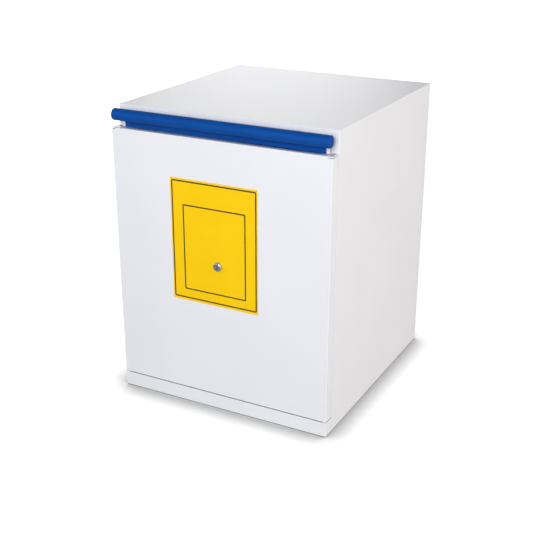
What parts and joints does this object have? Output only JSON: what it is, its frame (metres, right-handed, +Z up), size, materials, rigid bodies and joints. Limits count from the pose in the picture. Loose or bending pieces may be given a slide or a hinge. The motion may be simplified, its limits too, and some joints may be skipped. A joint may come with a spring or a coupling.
{
  "type": "reagent drawer cabinet",
  "caption": "Closed steel under-bench cabinet: a full-height front with a grip and a rod lock pulls out a carriage with spill trays; plinth below, air inlets and a duct spigot behind.",
  "frame": {"origin": "on the floor, under the middle of the closed cabinet's outer box", "axes": "+Z up, the drawer front faces -Y and pulls out that way, +X is to the right for someone in front of the cabinet"},
  "size_m": [0.56, 0.609, 0.72],
  "materials": {
    "white_powder_coat": "fine-textured satin powder coat",
    "blue_plastic": "satin, coloured through",
    "lock_chrome": "polished",
    "zinc_steel": "bright zinc plated",
    "polypropylene": "matt",
    "gasket_rubber": "matt",
    "nylon": "matt"
  },
  "bodies": {
    "casing": {"back_panel": "white_powder_coat", "floor_panel": "white_powder_coat", "foot_bracket_front_left": "zinc_steel", "foot_bracket_front_right": "zinc_steel", "foot_bracket_rear_left": "zinc_steel", "foot_bracket_rear_right": "zinc_steel", "keeper_bottom": "zinc_steel", "keeper_top": "zinc_steel", "levelling_foot_front_left": "zinc_steel", "levelling_foot_front_right": "zinc_steel", "levelling_foot_rear_left": "zinc_steel", "levelling_foot_rear_right": "zinc_steel", "liner_back": "polypropylene", "liner_left": "polypropylene", "liner_right": "polypropylene", "plinth_front": "white_powder_coat", "side_panel_left": "white_powder_coat", "side_panel_right": "white_powder_coat", "slide_outer_left": "zinc_steel", "slide_outer_right": "zinc_steel", "slide_rail_left": "zinc_steel", "slide_rail_right": "zinc_steel", "top_panel": "white_powder_coat", "vent_collar": "polypropylene"},
    "drawer": {"carriage_back": "white_powder_coat", "carriage_side_left": "white_powder_coat", "carriage_side_right": "white_powder_coat", "front_gasket": "gasket_rubber", "front_liner": "polypropylene", "front_panel": "white_powder_coat", "grip_bracket": "white_powder_coat", "grip_cap_left": "blue_plastic", "grip_cap_right": "blue_plastic", "grip_profile": "blue_plastic", "lock_base": "zinc_steel", "lock_cover": "zinc_steel", "lock_housing": "lock_chrome", "lock_nut": "zinc_steel", "rod_guide_lower": "nylon", "rod_guide_upper": "nylon", "slide_inner_left": "zinc_steel", "slide_inner_right": "zinc_steel", "tray_lower": "polypropylene", "tray_upper": "polypropylene"},
    "lock": {"lock_pinion": "zinc_steel", "lock_plug": "lock_chrome"},
    "lock_rod_lower": {"lock_rod_lower": "zinc_steel"},
    "lock_rod_upper": {"lock_rod_upper": "zinc_steel"},
    "slide_cage_inner_left": {"slide_cage_inner_left": "zinc_steel"},
    "slide_cage_inner_right": {"slide_cage_inner_right": "zinc_steel"},
    "slide_cage_outer_left": {"slide_cage_outer_left": "zinc_steel"},
    "slide_cage_outer_right": {"slide_cage_outer_right": "zinc_steel"},
    "slide_middle_left": {"slide_middle_left": "zinc_steel"},
    "slide_middle_right": {"slide_middle_right": "zinc_steel"}
  },
  "joints": [
    {"name": "drawer_slide", "type": "slide", "parent": "casing", "child": "drawer", "axis": [0, -1, 0], "range_m": [0, 0.44]},
    {"name": "slide_middle_left_travel", "type": "slide", "parent": "casing", "child": "slide_middle_left", "axis": [0, -1, 0], "range_m": [0, 0.22]},
    {"name": "slide_cage_outer_left_travel", "type": "slide", "parent": "casing", "child": "slide_cage_outer_left", "axis": [0, -1, 0], "range_m": [0, 0.11]},
    {"name": "slide_cage_inner_left_travel", "type": "slide", "parent": "casing", "child": "slide_cage_inner_left", "axis": [0, -1, 0], "range_m": [0, 0.33]},
    {"name": "slide_middle_right_travel", "type": "slide", "parent": "casing", "child": "slide_middle_right", "axis": [0, -1, 0], "range_m": [0, 0.22]},
    {"name": "slide_cage_outer_right_travel", "type": "slide", "parent": "casing", "child": "slide_cage_outer_right", "axis": [0, -1, 0], "range_m": [0, 0.11]},
    {"name": "slide_cage_inner_right_travel", "type": "slide", "parent": "casing", "child": "slide_cage_inner_right", "axis": [0, -1, 0], "range_m": [0, 0.33]},
    {"name": "lock_rod_upper_travel", "type": "slide", "parent": "drawer", "child": "lock_rod_upper", "axis": [0, 0, 1], "range_m": [0, 0.01414]},
    {"name": "lock_rod_lower_travel", "type": "slide", "parent": "drawer", "child": "lock_rod_lower", "axis": [0, 0, -1], "range_m": [0, 0.01414]},
    {"name": "lock_turn", "type": "hinge", "parent": "drawer", "child": "lock", "pos_m": [0, -0.2955, 0.376], "axis": [0, -1, 0], "range_deg": [0, 90]}
  ],
  "couplings": [
    {"joint": "slide_middle_left_travel", "follows": "drawer_slide", "ratio": 0.5},
    {"joint": "slide_cage_outer_left_travel", "follows": "drawer_slide", "ratio": 0.25},
    {"joint": "slide_cage_inner_left_travel", "follows": "drawer_slide", "ratio": 0.75},
    {"joint": "slide_middle_right_travel", "follows": "drawer_slide", "ratio": 0.5},
    {"joint": "slide_cage_outer_right_travel", "follows": "drawer_slide", "ratio": 0.25},
    {"joint": "slide_cage_inner_right_travel", "follows": "drawer_slide", "ratio": 0.75},
    {"joint": "lock_rod_lower_travel", "follows": "lock_rod_upper_travel", "ratio": 1},
    {"joint": "lock_turn", "follows": "lock_rod_upper_travel", "rad_per_m": 111.11}
  ]
}
